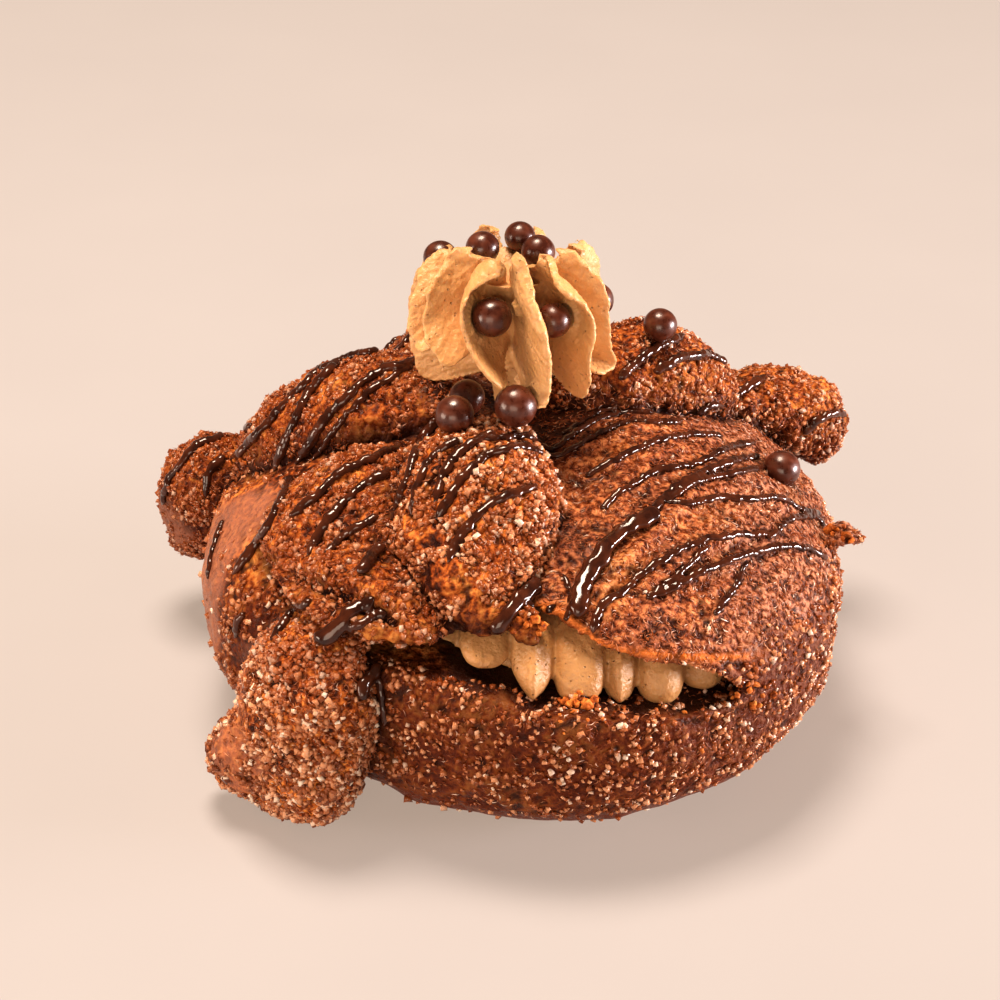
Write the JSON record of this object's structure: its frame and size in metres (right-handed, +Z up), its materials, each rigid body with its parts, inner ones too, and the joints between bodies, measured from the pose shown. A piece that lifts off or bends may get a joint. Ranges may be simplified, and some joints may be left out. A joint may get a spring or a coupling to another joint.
{
  "type": "filled pan de muerto",
  "caption": "Round sweet bun with baked-on dough bones, cut open at the front, filled with piped coffee cream, topped with a cream rosette, chocolate pearls, drizzle and sugar.",
  "frame": {"origin": "centre of the flat base that the bun rests on", "axes": "+Z up, -Y towards the open, filled side of the bun, +X to the right of someone facing that side"},
  "size_m": [0.1322, 0.117, 0.0925],
  "materials": {
    "crust": "baked brown crust with sugar crystals and glossy chocolate drizzle",
    "bone_crust": "baked brown crust of the dough bones, thick with sugar crystals",
    "filling_cream": "satin piped coffee cream",
    "rosette_cream": "satin piped coffee cream with small air pits",
    "pearl_chocolate": "glossy chocolate shell",
    "drizzle_chocolate": "glossy poured chocolate",
    "sugar_crystal": "clear to amber sugar crystals"
  },
  "bodies": {
    "root": {"bun": "crust", "bone_front": "bone_crust", "bone_left_back": "bone_crust", "bone_right_back": "bone_crust", "bone_front_left": "bone_crust", "filling_cream": "filling_cream", "rosette": "rosette_cream", "pearl_01": "pearl_chocolate", "pearl_02": "pearl_chocolate", "pearl_03": "pearl_chocolate", "pearl_04": "pearl_chocolate", "pearl_05": "pearl_chocolate", "pearl_06": "pearl_chocolate", "pearl_07": "pearl_chocolate", "pearl_08": "pearl_chocolate", "pearl_09": "pearl_chocolate", "pearl_10": "pearl_chocolate", "pearl_11": "pearl_chocolate", "pearl_12": "pearl_chocolate"}
  },
  "joints": []
}
